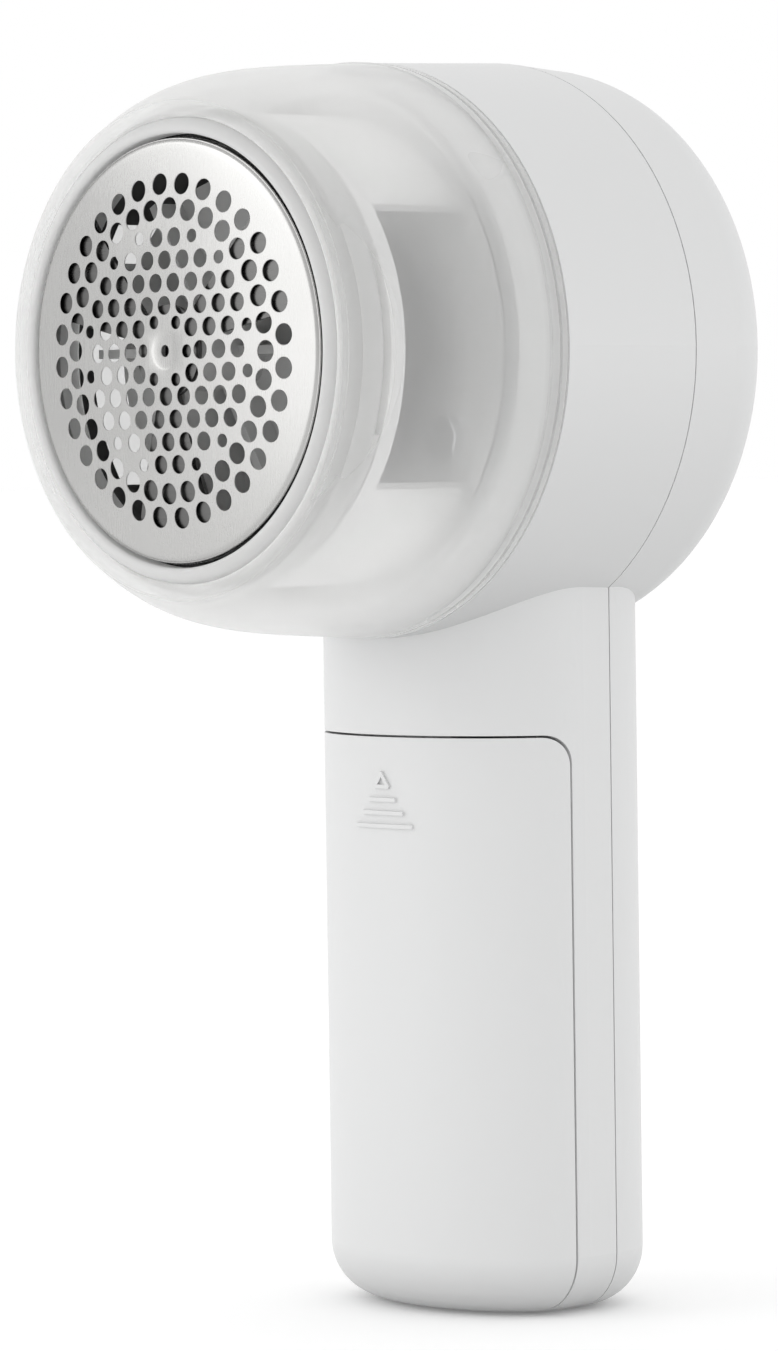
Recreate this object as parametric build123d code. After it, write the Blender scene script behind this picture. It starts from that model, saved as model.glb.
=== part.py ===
from build123d import *
import os
from math import cos, radians, sin, sqrt

os.makedirs("parts", exist_ok=True)

# Battery fabric shaver. Sizes in mm. The shape is drawn about the cutter axis: the foil's edge lies in the
# plane y = 0 and faces -y, the handle hangs towards -z. REST then lifts it so the handle's foot is at z = 0.

# head
HEAD_R = 33.2            # drum radius at the housing seam
COVER_EDGE_R = 32.55     # drum and cover radius where they meet
COVER_LEN = 28.75        # foil edge to the rear edge of the frosted cover
SEAM_Y = 48.4            # plane where the two housings meet
HEAD_DEPTH = 67.6        # foil edge to the back of the dome
RIM_R = 27.55            # outer edge of the cover's front face
RIM_Y = 0.55
DOME_TURN_R = 9.0        # rounding from drum to dome
DOME_TURN_Y = 55.5
DOME_TURN_END_R = 32.7   # drum radius where that rounding starts

# handle
HANDLE_W = 38.2          # full width
HANDLE_FRONT_Y = 30.7    # front of the handle behind the foil's edge
HANDLE_BACK_Y = 62.1
HANDLE_FOOT = 109.7      # cutter axis down to the handle's foot
FOOT_ROUND = 6.7
FRONT_ROUND_Y = 44.1     # the front of the section is half an ellipse about this line

# walls and fits
WALL = 1.8
HEAD_WALL = 2.0
REAR_GAP = 0.2           # frosted cover to the drum
SEAM_GAP = 0.16
DOOR_GAP = 0.26
SLIP = 0.1               # parts that slide or turn on each other
FREE = 0.3               # parts that pass without touching
SHAFT_FIT = 0.03
NEST = 0.05              # parts of one body that sit in each other

# foil
FOIL_R = 23.5
FOIL_T = 0.3
FOIL_CROWN_R = 185.0
FOIL_SKIRT = 2.2
FLANGE_R = FOIL_R + 1.1
BLANK_BAND = 5.083       # plain steel from the outer ring of holes to the foil's edge
OUTER_RING_R = FOIL_R - BLANK_BAND
PITCH = OUTER_RING_R / 6.386
INNER_RING_R = 5.444 * PITCH
WEB = 0.834              # steel between two holes of the grid
HOLE_D = PITCH - WEB
RING_HOLE_D = HOLE_D + 0.3
SMALL_HOLE_D = HOLE_D - 0.6
CENTRE_HOLE_D = 1.3
RING_HOLES = 32
SMALL_RING_R = 1.25 * PITCH
GRID_REACH = 4.7 * PITCH
GRID_FULL = 4.5 * PITCH
GRID_TURN = 0.5
RING_TURN = -1.2

# foil ring
RING_R = FLANGE_R + 1.05
RING_FRONT_Y = -0.2
RING_BACK_Y = 6.2
LUG_LEN = 1.0
LUG_R = RING_R + 1.05
LUG_ARC = 18.0
RING_TWIST = 30.0        # turn that lines the lugs up with the notches
RETAINER_IN_R = FOIL_R - 1.2
RETAINER_LEN = 2.2
NECK_WALL = 1.25
COVER_WALL = 1.6

# chamber and tower
CHAMBER_R = 26.4
CHAMBER_WALL = 1.3
CHAMBER_FRONT_Y = 7.8
OUTLET_Y0 = 9.9
OUTLET_Y1 = 25.1
OUTLET_HALF_ARC = 36.0
BULKHEAD_Y = 27.0
BULKHEAD_T = 2.0
SPIGOT_FRONT_Y = 22.8
SPIGOT_WALL = 2.0
TOWER_FRONT_Y = 12.2
TOWER_T = 1.7

# cutter
CUTTER_R = FOIL_R - 2.1
BLADE_T = 0.5
BLADE_GAP = 0.15
BLADE_ARC = 36.0
BLADES = 3
HUB_R = 4.5
HUB_DISC_R = CUTTER_R - 1.9
HUB_BACK_Y = 10.8
HUB_POCKET_Y = HUB_BACK_Y - 4.8
VANES = 6

# motor
MOTOR_R = 12.1
MOTOR_FRONT_Y = 14.0
MOTOR_LEN = 26.0
CAN_T = 1.0
CAP_T = 2.0
SHAFT_R = 1.0
BUSH_R = 3.0
MAGNET_IN_R = MOTOR_R - CAN_T - 2.2
CORE_R = MAGNET_IN_R - 0.4
CORE_Y0 = MOTOR_FRONT_Y + 6.0
CORE_Y1 = CORE_Y0 + 13.0
POLES = 3
TERMINAL_X = 4.0
TERMINAL_Z = 3.6 - MOTOR_R

# cells and tray
CELL_R = 7.1
CELL_LEN = 49.3
NUB_LEN = 1.2
CELL_X = CELL_R + 0.2
CELL_Y = 43.0
TROUGH_R = CELL_R + 0.2
TRAY_HALF_W = CELL_X + CELL_R + 1.1
TRAY_FRONT_Y = 40.4
TRAY_BACK_Y = 52.0
TRAY_TOP_Z = -49.6
TRAY_FOOT_Z = -105.4
TRAY_WALL = 1.2
TRAY_SEAT_Y = TRAY_BACK_Y - 1.8
PLATE_T = 0.4
PLATE_HALF = CELL_R - 3.3

# door
DOOR_TOP_Z = -43.6
DOOR_SIDE_Y = 42.3
DOOR_CORNER = 3.3
TONGUE_HALF_W = 8.0
TONGUE_LEN = 2.0
RAIL_IN_X = TRAY_HALF_W + 0.2
RAIL_T = 0.6
MARK_RISE = 0.3
MARK_Z = -51.0           # uppermost bar of the arrow
MARK_STEP = 1.5
MARK_LINE = 0.45

# wiring
LEAD_R = 0.55
LEAD_Y = 44.6

# switch
SWITCH_Z = -38.0
SWITCH_TRAVEL = 4.0
KNOB_W = 11.0
KNOB_H = 13.0
KNOB_RISE = 2.2
POCKET_FLOOR_Y = 60.9
SWITCH_Y0 = 50.0
SWITCH_Y1 = 55.0
EAR_Z = 8.6              # switch screws from the switch's middle
EAR_SCREW_R = 0.8

# screws
SCREW_R = 1.1
SCREW_HEAD_R = 2.5
BOSS_R = 3.4
HEAD_SCREW_X = 23.5
HEAD_SCREW_Z = 9.0
NECK_SCREW_X = 12.0
NECK_SCREW_Z = -43.5
NECK_POST_Y = 40.2
HEAD_WELL_Y = SEAM_Y + 9.0
NECK_WELL_Y = SEAM_Y + 6.0
CHAMBER_SCREW_AT = 20.0  # chamber screws from the cutter axis
BRACKET_X = 18.5
TRAY_SCREW_ZS = (-62.0, -94.0)

REST = Pos(0, -(HEAD_DEPTH - FOIL_R ** 2 / (2 * FOIL_CROWN_R)) / 2, HANDLE_FOOT)
ABOUT_Y = Rot(-90, 0, 0)  # turns a shape drawn up +z to run back along +y


def tube(r_out, r_in, y0, y1, x=0.0, z=0.0):
    """Ring or disc with its axis along y, from y0 to y1."""
    shape = Cylinder(r_out, y1 - y0, align=(Align.CENTER, Align.CENTER, Align.MIN))
    if r_in > 0:
        shape -= Cylinder(r_in, y1 - y0, align=(Align.CENTER, Align.CENTER, Align.MIN))
    return Pos(x, y0, z) * ABOUT_Y * shape


def block(x0, x1, y0, y1, z0, z1):
    """Box between two opposite corners."""
    return Pos((x0 + x1) / 2, (y0 + y1) / 2, (z0 + z1) / 2) * Box(x1 - x0, y1 - y0, z1 - z0)


def spun(edges):
    """Solid turned about the cutter axis from a closed outline of (r, y) edges."""
    return revolve(make_face(edges), Axis.Y)


def wedge(arc, reach, y0, y1, at=0.0):
    """Sector of a disc centred on the angle `at` from +x towards +z."""
    half = radians(arc / 2)
    tip = (reach * cos(half), reach * sin(half))
    far = (2 * reach, 2 * reach * sin(half) / cos(half))
    outline = Polyline((0, 0), far, (far[0], -far[1]), (0, 0))
    face = make_face(outline)
    solid = extrude(face, y1 - y0) & Cylinder(reach, 4 * (y1 - y0))
    return Pos(0, y1, 0) * Rot(0, -at, 0) * Rot(90, 0, 0) * solid


def around(count, start=0.0):
    """Turns about the cutter axis, evenly spaced."""
    return [Rot(0, -(start + 360.0 * k / count), 0) for k in range(count)]


def cover_radii(inset=0.0):
    """Outline of the frosted cover as (r, y) from the rim to the rear edge."""
    rise = ((0.0, 0.0), (0.052, 0.205), (0.123, 0.385), (0.195, 0.535), (0.337, 0.703), (0.48, 0.808),
            (0.69, 0.91), (1.0, 1.0))
    span_y = COVER_LEN - RIM_Y
    span_r = COVER_EDGE_R - RIM_R
    return [(RIM_R + span_r * b - inset, RIM_Y + span_y * a) for a, b in rise]


def crown_y(r, drop=0.0):
    """Height of the foil's crown at radius r; `drop` moves it back."""
    edge = sqrt(FOIL_CROWN_R ** 2 - FOIL_R ** 2)
    return edge - sqrt(FOIL_CROWN_R ** 2 - r ** 2) + drop


def crowned_disc(r, front, thick):
    """Disc with crowned faces that follows the foil, `front` behind its outer face."""
    mid = r / 2
    face = ThreePointArc((0, crown_y(0, front)), (mid, crown_y(mid, front)), (r, crown_y(r, front)))
    back_0 = crown_y(0, front) + thick
    back_m = crown_y(mid, front) + thick
    back_r = crown_y(r, front) + thick
    back = ThreePointArc((r, back_r), (mid, back_m), (0, back_0))
    rim = Line((r, crown_y(r, front)), (r, back_r))
    return spun([face, rim, back, Line((0, back_0), (0, crown_y(0, front)))])


def foil_holes():
    """(x, z, diameter) of every hole in the foil."""
    holes = [(0.0, 0.0, CENTRE_HOLE_D)]
    turn = radians(GRID_TURN)
    for row in range(-5, 6):
        for col in range(-8, 9):
            x = (col + (row % 2) / 2) * PITCH
            z = row * PITCH * sqrt(3) / 2
            r = sqrt(x * x + z * z)
            if r < 1.1 * PITCH or r > GRID_REACH:
                continue
            size = HOLE_D if r < GRID_FULL else SMALL_HOLE_D
            holes.append((x * cos(turn) - z * sin(turn), x * sin(turn) + z * cos(turn), size))
    rings = ((SMALL_RING_R, 6, 0.0, SMALL_HOLE_D),
             (INNER_RING_R, RING_HOLES, 0.0, RING_HOLE_D),
             (OUTER_RING_R, RING_HOLES, 0.5, RING_HOLE_D))
    for r, count, shift, size in rings:
        for k in range(count):
            a = radians(RING_TURN + 360.0 * (k + shift) / count)
            holes.append((r * cos(a), r * sin(a), size))
    return holes


def foil_mesh():
    """Domed steel foil with a skirt and a flange that the ring holds."""
    shell = crowned_disc(FOIL_R - FOIL_T / 2, 0.0, FOIL_T)
    skirt_in = FOIL_R - FOIL_T
    shell += tube(FOIL_R, skirt_in, 0.0, FOIL_SKIRT)
    shell += tube(FLANGE_R, skirt_in, FOIL_SKIRT, FOIL_SKIRT + FOIL_T)
    front = crown_y(0) - 1.0
    pins = [tube(d / 2, 0, front, FOIL_T + 0.5, x, z) for x, z, d in foil_holes()]
    return shell - pins


def lugs(r_in, y0, y1, arc, at):
    """Three bayonet sectors between r_in and the lug radius."""
    ring = tube(LUG_R, r_in, y0, y1)
    return Compound([ring & wedge(arc, LUG_R + 1, y0, y1, at + 120.0 * k) for k in range(3)])


def foil_ring():
    """Frosted ring that carries the foil and turns in the cover's neck."""
    step_y = FOIL_SKIRT - NEST
    bore = FOIL_R + SLIP
    recess = FLANGE_R + NEST
    ring = tube(RING_R, bore, RING_FRONT_Y, step_y)
    front = ring.edges().filter_by(GeomType.CIRCLE).group_by(Axis.Y)[0]
    ring = fillet(front, 0.5)
    ring += tube(RING_R, recess, step_y, RING_BACK_Y + LUG_LEN)
    for part in lugs(RING_R - 0.5, RING_BACK_Y, RING_BACK_Y + LUG_LEN, LUG_ARC, 90.0).solids():
        ring += part
    return ring


def foil_retainer():
    """Ring pressed in behind the foil's flange."""
    y0 = FOIL_SKIRT + FOIL_T + NEST
    return tube(FLANGE_R, RETAINER_IN_R, y0, y0 + RETAINER_LEN)


def lint_cover():
    """Frosted bowl: front face, neck for the foil ring and the lip over the spigot."""
    outer = cover_radii()
    inner = cover_radii(COVER_WALL)[2:]
    neck_in = RING_R + SLIP
    neck_out = neck_in + NECK_WALL
    neck_back = RING_BACK_Y - SLIP
    lip_r = COVER_EDGE_R - COVER_WALL
    crest = (neck_out - 0.2, 0.0)
    outline = [
        Spline(*outer),
        Line(outer[-1], (lip_r, COVER_LEN)),
        Line((lip_r, COVER_LEN), (lip_r, SPIGOT_FRONT_Y - 1.0)),
        Line((lip_r, SPIGOT_FRONT_Y - 1.0), (inner[-3][0], SPIGOT_FRONT_Y - 2.0)),
        Line((inner[-3][0], SPIGOT_FRONT_Y - 2.0), inner[2]),
        Line(inner[2], inner[1]),
        Line(inner[1], inner[0]),
        Line(inner[0], (neck_out, 2.4)),
        Line((neck_out, 2.4), (neck_out, neck_back)),
        Line((neck_out, neck_back), (neck_in, neck_back)),
        Line((neck_in, neck_back), (neck_in, 1.0)),
        Line((neck_in, 1.0), (neck_in + 0.3, 0.3)),
        Line((neck_in + 0.3, 0.3), crest),
        Line(crest, outer[0]),
    ]
    bowl = spun(outline)
    groove_y = COVER_LEN - 1.15
    bowl -= tube(HEAD_R + 2, COVER_EDGE_R - 0.3, groove_y - 0.2, groove_y + 0.2)
    gate = tube(LUG_R + SLIP, neck_in - 0.2, 1.2, neck_back + 0.1)
    for k in range(3):
        bowl -= gate & wedge(LUG_ARC + 3.0, LUG_R + 2, 1.2, neck_back + 0.1, 90.0 - RING_TWIST + 120.0 * k)
    return bowl


def cutter_chamber():
    """Cup round the cutter with a lint outlet on each side, screwed to the bulkhead."""
    floor_y = BULKHEAD_Y - NEST
    cup = tube(CHAMBER_R, CHAMBER_R - CHAMBER_WALL, CHAMBER_FRONT_Y, floor_y)
    cup += tube(CHAMBER_R, MOTOR_R + TOWER_T + 2 * FREE, floor_y - 1.8, floor_y)
    window = tube(CHAMBER_R + 1, CHAMBER_R - CHAMBER_WALL - 1, OUTLET_Y0, OUTLET_Y1)
    for side in (0.0, 180.0):
        cup -= window & wedge(2 * OUTLET_HALF_ARC, CHAMBER_R + 2, OUTLET_Y0, OUTLET_Y1, side)
    for turn in around(3, 90.0):
        cup -= turn * tube(SCREW_R + SLIP, 0, floor_y - 3, floor_y + 1, CHAMBER_SCREW_AT)
    return cup


def screw(y_head, length, x, z, back=True):
    """Pan head screw along y; the head faces +y when `back`, else -y."""
    side = 1 if back else -1
    head = Cylinder(SCREW_HEAD_R, 1.6, align=(Align.CENTER, Align.CENTER, Align.MIN))
    head = fillet(head.edges().group_by(Axis.Z)[-1], 0.5)
    head -= Pos(0, 0, 1.6) * Box(0.5, 3.0, 1.4) + Pos(0, 0, 1.6) * Box(3.0, 0.5, 1.4)
    head += Cylinder(SCREW_R, length, align=(Align.CENTER, Align.CENTER, Align.MAX))
    return Pos(x, y_head, z) * Rot(-90 * side, 0, 0) * head


def chamber_screws():
    """Three screws in the chamber's floor."""
    y = BULKHEAD_Y - NEST - 1.8
    return [turn * screw(y, 5.0, CHAMBER_SCREW_AT, 0, back=False) for turn in around(3, 90.0)]


def cutter_blades():
    """Steel cutter: a small crowned disc with three swept sectors."""
    sheet = crowned_disc(CUTTER_R, FOIL_T + BLADE_GAP, BLADE_T)
    y0 = crown_y(0) - 1.0
    keep = tube(HUB_R + 0.6, 0, y0, 3.0)
    for k in range(BLADES):
        keep += wedge(BLADE_ARC, CUTTER_R + 1, y0, 3.0, 30.0 + 360.0 * k / BLADES)
    blades = sheet & keep
    return blades - tube(SHAFT_R + SHAFT_FIT, 0, y0, 3.0)


def cutter_hub():
    """Moulded hub: boss, arms under the blades, back disc and fan vanes."""
    seat = crown_y(0) + FOIL_T + BLADE_GAP + BLADE_T
    hub = tube(HUB_R, 0, seat + 2 * NEST, HUB_BACK_Y)
    hub += tube(HUB_DISC_R, 0, HUB_BACK_Y - 1.2, HUB_BACK_Y)
    arm_back = HUB_BACK_Y - 1.0
    arm = block(2.0, CUTTER_R - 2.2, 0.8, arm_back, -0.7, 0.7)
    for turn in around(BLADES, 30.0):
        hub += turn * arm
    vane = block(2.0, HUB_DISC_R - 0.6, 5.4, arm_back, -0.5, 0.5)
    for turn in around(VANES, 60.0):
        hub += turn * vane
    hub -= tube(SHAFT_R + SHAFT_FIT, 0, -3.0, HUB_BACK_Y + 1)
    return hub - tube(3.3, 0, HUB_POCKET_Y, HUB_BACK_Y + 1)


def coil(mean_r, wire_r, pitch, length, y0):
    """Round wire spring along y from y0."""
    path = Helix(pitch, length, mean_r)
    start = Plane(origin=path @ 0, z_dir=path % 0)
    wire = sweep(start * Circle(wire_r), path=path)
    return Pos(0, y0, 0) * ABOUT_Y * wire


def cutter_spring():
    """Spring that presses the cutter against the foil."""
    wire = 0.25
    y0 = HUB_POCKET_Y + wire + NEST
    y1 = HUB_BACK_Y + 0.3 - wire - NEST
    return coil(2.3, wire, 1.1, y1 - y0, y0)


def shaft_collar():
    """Collar on the shaft behind the spring."""
    return tube(3.0, SHAFT_R + SHAFT_FIT, HUB_BACK_Y + 0.3, HUB_BACK_Y + 0.9)


def motor_shaft():
    """Shaft through motor, collar, hub and cutter."""
    front = crown_y(0) + FOIL_T + BLADE_GAP + FREE
    return tube(SHAFT_R, 0, front, MOTOR_FRONT_Y + MOTOR_LEN + CAP_T + 0.6)


def pole_piece(at, y0, y1):
    """One leg and shoe of the armature."""
    leg = block(1.5, CORE_R - 1.0, y0, y1, -1.3, 1.3)
    shoe = tube(CORE_R, CORE_R - 1.6, y0, y1) & wedge(92.0, CORE_R + 1, y0, y1)
    return Rot(0, -at, 0) * (leg + shoe)


def armature_core():
    """Laminated three-pole core."""
    y0, y1 = CORE_Y0, CORE_Y1
    core = tube(2.4, 0, y0, y1)
    for k in range(POLES):
        core += pole_piece(360.0 * k / POLES, y0, y1)
    return core - tube(SHAFT_R + SHAFT_FIT, 0, y0 - 1, y1 + 1)


def armature_windings():
    """Copper coils between the poles and over the core's ends."""
    y0, y1 = CORE_Y0, CORE_Y1
    reach = CORE_R - 1.6 - NEST
    coil_r = reach - 0.5
    body = tube(coil_r, 2.4 + NEST, y0 - 2.2, y1 + 2.2)
    slot = tube(CORE_R + 1, 0, y0 - NEST, y1 + NEST)
    legs = block(0, CORE_R + 2, y0 - NEST, y1 + NEST, -1.3 - NEST, 1.3 + NEST)
    for turn in around(POLES):
        body -= turn * (legs & slot)
    return body


def commutator():
    """Copper drum that the brushes run on."""
    y0 = MOTOR_FRONT_Y + 21.6
    drum = tube(2.6, SHAFT_R + SHAFT_FIT, y0, y0 + 3.2)
    cut = block(2.2, 4.0, y0 - 1, y0 + 5, -0.15, 0.15)
    for turn in around(POLES, 60.0):
        drum -= turn * cut
    return drum


def motor_can():
    """Drawn steel can with a nose for the front bush."""
    y0, y1 = MOTOR_FRONT_Y, MOTOR_FRONT_Y + MOTOR_LEN
    can = tube(MOTOR_R, 0, y0, y1)
    can = fillet(can.edges().filter_by(GeomType.CIRCLE).group_by(Axis.Y)[0], 0.8)
    can += tube(BUSH_R + 1.0, 0, y0 - 1.1, y0)
    can -= tube(MOTOR_R - CAN_T, 0, y0 + CAN_T, y1)
    return can - tube(BUSH_R, 0, y0 - 2, y0 + 2)


def motor_bush(y0, y1):
    """Plain bearing for the shaft."""
    return tube(BUSH_R - NEST, SHAFT_R + SHAFT_FIT, y0, y1)


def motor_magnets():
    """Two arc magnets inside the can."""
    y0 = MOTOR_FRONT_Y + 4.0
    y1 = y0 + 18.0
    ring = tube(MOTOR_R - CAN_T - NEST, MAGNET_IN_R, y0, y1)
    return [ring & wedge(130.0, MOTOR_R + 1, y0, y1, side) for side in (0.0, 180.0)]


def motor_cap():
    """Plastic end cap of the motor with holes for bush and terminals."""
    y1 = MOTOR_FRONT_Y + MOTOR_LEN
    cap = tube(MOTOR_R - 0.2, 0, y1 + NEST, y1 + CAP_T)
    cap += tube(MOTOR_R - CAN_T - NEST, MOTOR_R - CAN_T - 1.6, y1 - 1.6, y1 + NEST)
    cap -= tube(BUSH_R, 0, y1 - 1, y1 + CAP_T + 1)
    for side in (-1, 1):
        x = side * TERMINAL_X
        cap -= block(x - 1.3, x + 1.3, y1 - 1, y1 + CAP_T + 1, TERMINAL_Z - 0.35, TERMINAL_Z + 0.35)
    return cap


def motor_brushes():
    """Two leaf brushes either side of the commutator."""
    y1 = MOTOR_FRONT_Y + MOTOR_LEN
    leaf = block(2.6 + SLIP, 3.4, y1 - 3.6, y1, -1.4, 1.4)
    return [leaf, Rot(0, 180, 0) * leaf]


def motor_terminals():
    """Two solder tabs through the end cap."""
    y1 = MOTOR_FRONT_Y + MOTOR_LEN
    tabs = []
    for side in (-1, 1):
        x = side * TERMINAL_X
        tabs.append(block(x - 1.2, x + 1.2, y1 - 0.8, y1 + CAP_T + 3.0, TERMINAL_Z - 0.3, TERMINAL_Z + 0.3))
    return tabs


def bracket_y():
    """Front face of the motor bracket."""
    return MOTOR_FRONT_Y + MOTOR_LEN + CAP_T + NEST


def motor_bracket():
    """Bar across the back of the motor, screwed to two posts."""
    y0 = bracket_y()
    bar = block(-BRACKET_X - 3.5, BRACKET_X + 3.5, y0, y0 + 2.0, -6.0, 6.0)
    bar = fillet(bar.edges().filter_by(Axis.Y), 2.5)
    bar -= tube(BUSH_R + 1.0, 0, y0 - 1, y0 + 3)
    for side in (-1, 1):
        bar -= tube(SCREW_R + SLIP, 0, y0 - 1, y0 + 3, side * BRACKET_X)
    return bar


def bracket_screws():
    """Two screws that hold the bracket."""
    return [screw(bracket_y() + 2.0, 7.0, side * BRACKET_X, 0) for side in (-1, 1)]


def handle_section(inset=0.0):
    """Handle outline: half an ellipse in front, straight flanks, half an ellipse behind."""
    half = HANDLE_W / 2 - inset
    front = FRONT_ROUND_Y - HANDLE_FRONT_Y - inset
    back = HANDLE_BACK_Y - SEAM_Y - inset
    flank = SEAM_Y - FRONT_ROUND_Y
    shape = Pos(0, FRONT_ROUND_Y) * Ellipse(half, front)
    shape += Pos(0, SEAM_Y) * Ellipse(half, back)
    return shape + Pos(0, FRONT_ROUND_Y + flank / 2) * Rectangle(2 * half, flank)


def handle_solid(inset=0.0, top=-18.0):
    """Handle block with a rounded foot, drawn in by `inset`."""
    foot = -HANDLE_FOOT + inset
    body = Pos(0, 0, foot) * extrude(handle_section(inset), top - foot)
    return fillet(body.edges().group_by(Axis.Z)[0], FOOT_ROUND - inset)


def head_solid(inset=0.0, front=None):
    """Drum and dome as one turned solid, drawn in by `inset`."""
    y0 = COVER_LEN + REAR_GAP if front is None else front
    edge = COVER_EDGE_R - inset
    turn = DOME_TURN_R - inset
    turn_r = DOME_TURN_END_R - DOME_TURN_R
    lean = radians(75)
    knee = (turn_r + turn * cos(lean), DOME_TURN_Y + turn * sin(lean))
    half = radians(37.5)
    mid = (turn_r + turn * cos(half), DOME_TURN_Y + turn * sin(half))
    back = HEAD_DEPTH - inset
    cap_h = back - knee[1]
    cap_r = (knee[0] ** 2 + cap_h ** 2) / (2 * cap_h)
    bow = knee[0] / 2
    outline = [
        Line((0, y0), (edge, y0)),
        Line((edge, y0), (HEAD_R - inset, SEAM_Y)),
        Line((HEAD_R - inset, SEAM_Y), (DOME_TURN_END_R - inset, DOME_TURN_Y)),
        ThreePointArc((DOME_TURN_END_R - inset, DOME_TURN_Y), mid, knee),
        ThreePointArc(knee, (bow, back - cap_r + sqrt(cap_r ** 2 - bow ** 2)), (0, back)),
        Line((0, back), (0, y0)),
    ]
    return spun(outline)


def housing_shell():
    """Hollow skin of head and handle, open at the front of the drum."""
    skin = head_solid() + handle_solid()
    hollow = head_solid(HEAD_WALL, BULKHEAD_Y + BULKHEAD_T) + handle_solid(WALL)
    return skin - hollow


def door_prism(gap):
    """Everything in front of the door's side seam and below its top seam."""
    y_side = DOOR_SIDE_Y - gap
    z_top = DOOR_TOP_Z - gap
    low = -HANDLE_FOOT - 5.0
    prism = block(-30, 30, HANDLE_FRONT_Y - 5, y_side, low, z_top)
    corner = prism.edges().filter_by(Axis.X).group_by(Axis.Y)[-1].sort_by(Axis.Z)[-1]
    return fillet(corner, DOOR_CORNER)


def screw_posts(y0, y1):
    """Front bosses for the four housing screws."""
    posts = tube(BOSS_R, SCREW_R + NEST, y0, y1, HEAD_SCREW_X, HEAD_SCREW_Z)
    posts += tube(BOSS_R, SCREW_R + NEST, y0, y1, -HEAD_SCREW_X, HEAD_SCREW_Z)
    return posts


def front_housing(shell):
    """Drum, bulkhead with spigot and motor tower, and the front of the handle."""
    seam = SEAM_Y - SEAM_GAP / 2
    half = shell & block(-60, 60, 0, seam, -HANDLE_FOOT - 1, 60)
    half -= door_prism(0.0)
    spigot_r = COVER_EDGE_R - COVER_WALL - SLIP
    drum_y = COVER_LEN + REAR_GAP
    half += tube(spigot_r, spigot_r - SPIGOT_WALL, SPIGOT_FRONT_Y, BULKHEAD_Y + 0.5)
    half += tube(spigot_r, 0, BULKHEAD_Y, BULKHEAD_Y + BULKHEAD_T)
    half += tube(COVER_EDGE_R - 0.5, spigot_r - 1.0, drum_y, BULKHEAD_Y + BULKHEAD_T + 1.5)
    tower_in = MOTOR_R + FREE
    half += tube(tower_in + TOWER_T, 0, TOWER_FRONT_Y, BULKHEAD_Y + 1.0)
    half -= tube(tower_in, 0, TOWER_FRONT_Y + TOWER_T, BULKHEAD_Y + BULKHEAD_T + 1)
    half -= tube(BUSH_R + 1.3, 0, TOWER_FRONT_Y - 1, TOWER_FRONT_Y + TOWER_T + 1)
    post_y0 = BULKHEAD_Y + 1.0
    half += screw_posts(post_y0, seam - NEST)
    for side in (-1, 1):
        half += tube(BOSS_R, SCREW_R + NEST, post_y0, bracket_y() - NEST, side * BRACKET_X)
        rib_x0, rib_x1 = sorted((side * NECK_SCREW_X, side * (HANDLE_W / 2 - WALL / 2)))
        rib = block(rib_x0, rib_x1, DOOR_SIDE_Y, seam - NEST, DOOR_TOP_Z + 0.4, DOOR_TOP_Z + 2.0)
        half += rib & handle_solid(WALL / 2)
        half += tube(BOSS_R, 0, NECK_POST_Y, seam - NEST, side * NECK_SCREW_X, NECK_SCREW_Z)
        half -= tube(SCREW_R + NEST, 0, NECK_POST_Y - 1, seam + 1, side * NECK_SCREW_X, NECK_SCREW_Z)
    for turn in around(3, 90.0):
        hole = tube(SCREW_R + NEST, 0, BULKHEAD_Y - 1, BULKHEAD_Y + BULKHEAD_T + 4, CHAMBER_SCREW_AT)
        half -= turn * hole
    return half


def rear_housing(shell):
    """Dome and back of the handle with screw wells, switch pocket and tray bosses."""
    seam = SEAM_Y + SEAM_GAP / 2
    half = shell & block(-60, 60, seam, HEAD_DEPTH + 5, -HANDLE_FOOT - 1, 60)
    solid = head_solid(0.3) + handle_solid(0.3)
    wells = [(side * HEAD_SCREW_X, HEAD_SCREW_Z, HEAD_WELL_Y) for side in (-1, 1)]
    wells += [(side * NECK_SCREW_X, NECK_SCREW_Z, NECK_WELL_Y) for side in (-1, 1)]
    for x, z, floor in wells:
        half += tube(SCREW_HEAD_R + 1.6, 0, seam, HEAD_DEPTH + 1, x, z) & solid
    pad_x = KNOB_W / 2 + 2.5
    pad = block(-pad_x, pad_x, POCKET_FLOOR_Y - 2.4, HANDLE_BACK_Y, SWITCH_Z - 12, SWITCH_Z + 12)
    half += pad & solid
    for z in TRAY_SCREW_ZS:
        half += tube(BOSS_R, 0, TRAY_BACK_Y + NEST, HANDLE_BACK_Y - 1.0, 0, z)
        half -= tube(SCREW_R + NEST, 0, TRAY_BACK_Y - 1, TRAY_BACK_Y + 6.5, 0, z)
    for side in (-1, 1):
        z = SWITCH_Z + side * EAR_Z
        half += tube(2.2, 0, SWITCH_Y1 + NEST, POCKET_FLOOR_Y - 2.0, 0, z)
        half -= tube(EAR_SCREW_R + NEST, 0, SWITCH_Y1 - 1, SWITCH_Y1 + 3.6, 0, z)
    for x, z, floor in wells:
        half -= tube(SCREW_HEAD_R + FREE, 0, floor, HEAD_DEPTH + 5, x, z)
        half -= tube(SCREW_R + SLIP, 0, seam - 1, floor + 1, x, z)
    room = KNOB_H / 2 + SWITCH_TRAVEL / 2 + 0.4
    well_x = KNOB_W / 2 + 0.2
    half -= block(-well_x, well_x, POCKET_FLOOR_Y, HANDLE_BACK_Y + 5, SWITCH_Z - room, SWITCH_Z + room)
    slot = 2.0 + SWITCH_TRAVEL / 2 + FREE
    return half - block(-2.0, 2.0, SWITCH_Y1 + 1, HANDLE_BACK_Y + 5, SWITCH_Z - slot, SWITCH_Z + slot)


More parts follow.
